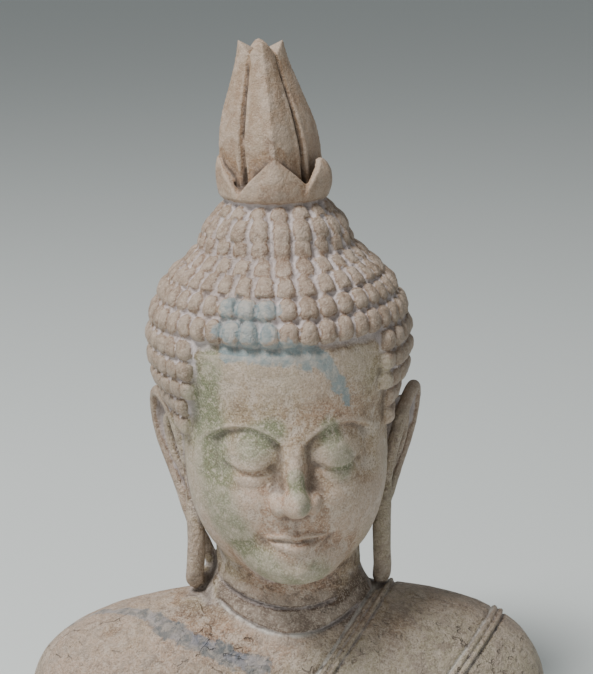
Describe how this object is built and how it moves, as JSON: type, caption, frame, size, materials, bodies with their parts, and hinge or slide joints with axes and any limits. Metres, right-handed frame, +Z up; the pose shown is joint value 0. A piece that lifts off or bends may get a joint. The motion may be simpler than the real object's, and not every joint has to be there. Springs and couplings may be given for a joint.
{
  "type": "stone buddha bust",
  "caption": "carved stone bust of a calm meditating figure with beaded hair, lotus-bud finial, long pierced ears and a robe over one shoulder, flat underside to stand on",
  "frame": {"origin": "on the flat underside, on the upright axis of the body", "axes": "+X towards the figure's left shoulder, -Y the way the face looks, +Z up through the finial"},
  "size_m": [0.2678, 0.1561, 0.348],
  "materials": {
    "stone": "smooth weathered carved stone with a low sheen"
  },
  "bodies": {
    "root": {"bust": "stone"}
  },
  "joints": []
}
